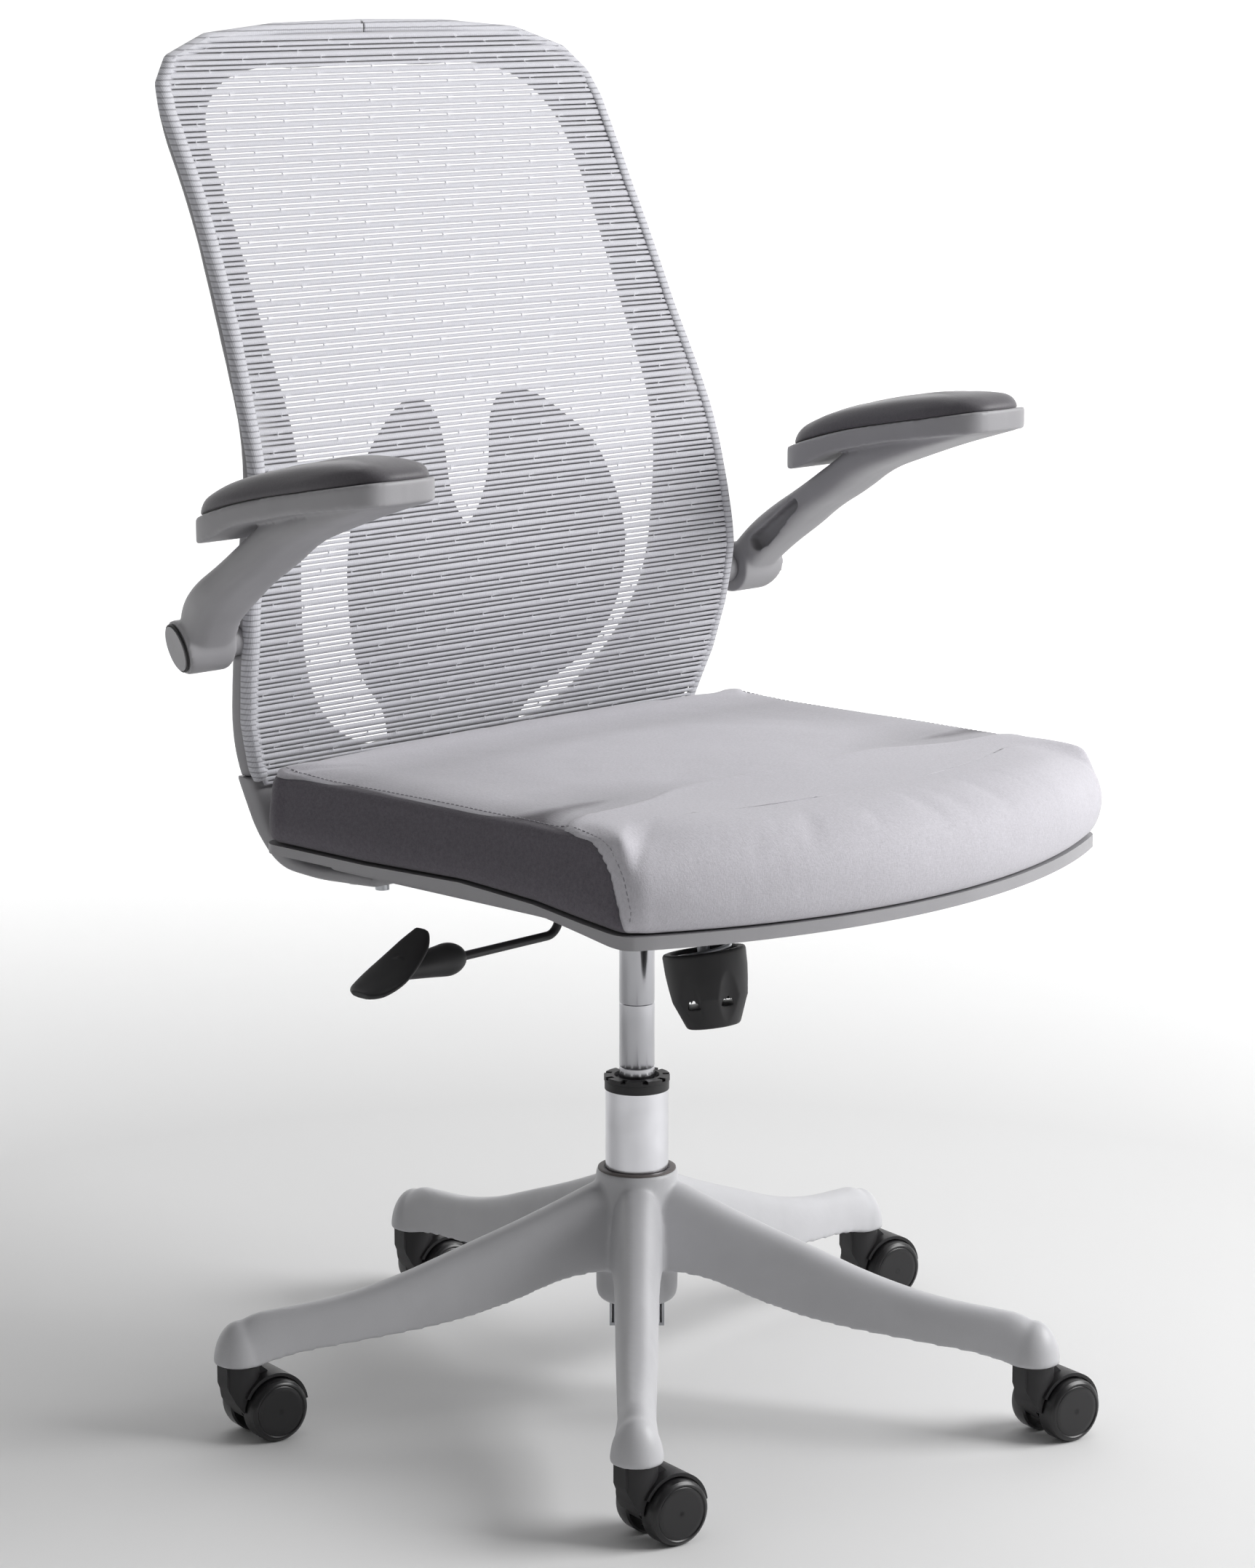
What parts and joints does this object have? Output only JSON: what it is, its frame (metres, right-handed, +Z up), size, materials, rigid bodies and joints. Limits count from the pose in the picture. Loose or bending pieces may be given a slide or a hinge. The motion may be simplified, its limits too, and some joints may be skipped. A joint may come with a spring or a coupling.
{
  "type": "office swivel chair with flip-up arms",
  "caption": "Mesh-back swivel chair: star base with twin-wheel casters, gas lift, tilt seat with tension knob, flip-up padded arms and a ringed back frame.",
  "frame": {"origin": "on the floor, under the axis of the gas column", "axes": "+Z up, the sitter faces -Y, the sitter's left hand is towards +X"},
  "size_m": [0.7377, 0.6692, 1.084],
  "materials": {
    "base_plastic": "smooth satin light grey nylon",
    "frame_plastic": "fine-grained light grey moulding",
    "black_plastic": "matte black nylon",
    "wheel_plastic": "semi-gloss black",
    "column_steel": "polished plated tube",
    "piston_chrome": "ground and plated",
    "black_steel": "black powder coat",
    "zinc_steel": "zinc plated",
    "seat_board_wood": "raw plywood",
    "seat_fabric": "light grey woven polyester, dark grey sides",
    "mesh_fabric": "light grey ribbed mesh",
    "arm_pad_fabric": "dark grey fine-grained soft cover"
  },
  "bodies": {
    "base": {"star_base": "base_plastic", "column_tube": "column_steel", "column_guide": "black_plastic", "retaining_clip": "zinc_steel", "thrust_bearing": "zinc_steel", "caster_stems": "zinc_steel"},
    "lift_rod": {"piston_rod": "zinc_steel"},
    "column_head": {"gas_cylinder": "piston_chrome", "tilt_housing": "black_steel"},
    "valve_pin": {"release_pin": "zinc_steel"},
    "tilt_lock": {"lock_bar": "zinc_steel", "lever_pin": "zinc_steel"},
    "lever": {"lift_lever": "black_steel", "lever_paddle": "black_plastic"},
    "seat": {"tilt_pin": "zinc_steel", "tension_bolt": "zinc_steel", "tension_spring": "zinc_steel", "seat_plate": "black_steel", "seat_bolts": "zinc_steel", "seat_pan": "frame_plastic", "seat_board": "seat_board_wood", "seat_cushion": "seat_fabric", "back_leg_left": "frame_plastic", "back_leg_right": "frame_plastic", "back_bolts": "zinc_steel", "back_frame": "frame_plastic", "back_mesh": "mesh_fabric", "lumbar_support": "frame_plastic", "arm_boss_left": "frame_plastic", "arm_boss_right": "frame_plastic", "arm_pin_left": "zinc_steel", "arm_pin_right": "zinc_steel"},
    "knob": {"tension_knob": "black_plastic"},
    "arm_left": {"arm_shell_left": "frame_plastic", "arm_pad_left": "arm_pad_fabric", "arm_cap_left": "frame_plastic"},
    "arm_right": {"arm_shell_right": "frame_plastic", "arm_pad_right": "arm_pad_fabric", "arm_cap_right": "frame_plastic"},
    "caster_1": {"caster_1_hood": "black_plastic", "caster_1_axle": "zinc_steel"},
    "wheel_1_a": {"caster_1_wheel_a": "wheel_plastic"},
    "wheel_1_b": {"caster_1_wheel_b": "wheel_plastic"},
    "caster_2": {"caster_2_hood": "black_plastic", "caster_2_axle": "zinc_steel"},
    "wheel_2_a": {"caster_2_wheel_a": "wheel_plastic"},
    "wheel_2_b": {"caster_2_wheel_b": "wheel_plastic"},
    "caster_3": {"caster_3_hood": "black_plastic", "caster_3_axle": "zinc_steel"},
    "wheel_3_a": {"caster_3_wheel_a": "wheel_plastic"},
    "wheel_3_b": {"caster_3_wheel_b": "wheel_plastic"},
    "caster_4": {"caster_4_hood": "black_plastic", "caster_4_axle": "zinc_steel"},
    "wheel_4_a": {"caster_4_wheel_a": "wheel_plastic"},
    "wheel_4_b": {"caster_4_wheel_b": "wheel_plastic"},
    "caster_5": {"caster_5_hood": "black_plastic", "caster_5_axle": "zinc_steel"},
    "wheel_5_a": {"caster_5_wheel_a": "wheel_plastic"},
    "wheel_5_b": {"caster_5_wheel_b": "wheel_plastic"}
  },
  "joints": [
    {"name": "caster_1_swivel", "type": "hinge", "parent": "base", "child": "caster_1", "pos_m": [-0.22981, -0.22981, 0.05], "axis": [0, 0, 1], "continuous": true},
    {"name": "wheel_1_a_roll", "type": "hinge", "parent": "caster_1", "child": "wheel_1_a", "pos_m": [-0.20816, -0.23371, 0.025], "axis": [0.1771, 0.9842, 0], "continuous": true},
    {"name": "wheel_1_b_roll", "type": "hinge", "parent": "caster_1", "child": "wheel_1_b", "pos_m": [-0.20816, -0.23371, 0.025], "axis": [0.1771, 0.9842, 0], "continuous": true},
    {"name": "caster_2_swivel", "type": "hinge", "parent": "base", "child": "caster_2", "pos_m": [0.14755, -0.28958, 0.05], "axis": [0, 0, 1], "continuous": true},
    {"name": "wheel_2_a_roll", "type": "hinge", "parent": "caster_2", "child": "wheel_2_a", "pos_m": [0.1692, -0.29347, 0.025], "axis": [0.1771, 0.9842, 0], "continuous": true},
    {"name": "wheel_2_b_roll", "type": "hinge", "parent": "caster_2", "child": "wheel_2_b", "pos_m": [0.1692, -0.29347, 0.025], "axis": [0.1771, 0.9842, 0], "continuous": true},
    {"name": "caster_3_swivel", "type": "hinge", "parent": "base", "child": "caster_3", "pos_m": [0.321, 0.05084, 0.05], "axis": [0, 0, 1], "continuous": true},
    {"name": "wheel_3_a_roll", "type": "hinge", "parent": "caster_3", "child": "wheel_3_a", "pos_m": [0.34265, 0.04695, 0.025], "axis": [0.1771, 0.9842, 0], "continuous": true},
    {"name": "wheel_3_b_roll", "type": "hinge", "parent": "caster_3", "child": "wheel_3_b", "pos_m": [0.34265, 0.04695, 0.025], "axis": [0.1771, 0.9842, 0], "continuous": true},
    {"name": "caster_4_swivel", "type": "hinge", "parent": "base", "child": "caster_4", "pos_m": [0.05084, 0.321, 0.05], "axis": [0, 0, 1], "continuous": true},
    {"name": "wheel_4_a_roll", "type": "hinge", "parent": "caster_4", "child": "wheel_4_a", "pos_m": [0.07249, 0.3171, 0.025], "axis": [0.1771, 0.9842, 0], "continuous": true},
    {"name": "wheel_4_b_roll", "type": "hinge", "parent": "caster_4", "child": "wheel_4_b", "pos_m": [0.07249, 0.3171, 0.025], "axis": [0.1771, 0.9842, 0], "continuous": true},
    {"name": "caster_5_swivel", "type": "hinge", "parent": "base", "child": "caster_5", "pos_m": [-0.28958, 0.14755, 0.05], "axis": [0, 0, 1], "continuous": true},
    {"name": "wheel_5_a_roll", "type": "hinge", "parent": "caster_5", "child": "wheel_5_a", "pos_m": [-0.26793, 0.14365, 0.025], "axis": [0.1771, 0.9842, 0], "continuous": true},
    {"name": "wheel_5_b_roll", "type": "hinge", "parent": "caster_5", "child": "wheel_5_b", "pos_m": [-0.26793, 0.14365, 0.025], "axis": [0.1771, 0.9842, 0], "continuous": true},
    {"name": "seat_swivel", "type": "hinge", "parent": "base", "child": "lift_rod", "pos_m": [0, 0, 0.07], "axis": [0, 0, 1], "continuous": true},
    {"name": "seat_lift", "type": "slide", "parent": "lift_rod", "child": "column_head", "axis": [0, 0, 1], "range_m": [-0.065, 0.035]},
    {"name": "valve_press", "type": "slide", "parent": "column_head", "child": "valve_pin", "axis": [0, 0, -1], "range_m": [0, 0.0045]},
    {"name": "tilt_lock_slide", "type": "slide", "parent": "column_head", "child": "tilt_lock", "axis": [-1, 0, 0], "range_m": [0, 0.018]},
    {"name": "lever_lift", "type": "hinge", "parent": "tilt_lock", "child": "lever", "pos_m": [-0.068, -0.005, 0.433], "axis": [0, 1, 0], "range_deg": [0, 3.5], "stiffness_Nm_per_rad": 4, "springref_deg": -5.73},
    {"name": "seat_tilt", "type": "hinge", "parent": "column_head", "child": "seat", "pos_m": [0, -0.028, 0.428], "axis": [-1, 0, 0], "range_deg": [0, 10], "stiffness_Nm_per_rad": 260, "springref_deg": -14.32, "deforming": ["tension_spring"]},
    {"name": "tension_turn", "type": "hinge", "parent": "seat", "child": "knob", "pos_m": [0, -0.08, 0.345], "axis": [0, 0.1908, 0.9816], "range_deg": [-720, 720]},
    {"name": "arm_flip_left", "type": "hinge", "parent": "seat", "child": "arm_left", "pos_m": [0.298, 0.169, 0.626], "axis": [-1, 0, 0], "range_deg": [0, 90]},
    {"name": "arm_flip_right", "type": "hinge", "parent": "seat", "child": "arm_right", "pos_m": [-0.298, 0.169, 0.626], "axis": [-1, 0, 0], "range_deg": [0, 90]}
  ],
  "couplings": [
    {"joint": "valve_press", "follows": "lever_lift", "m_per_rad": 0.068}
  ]
}
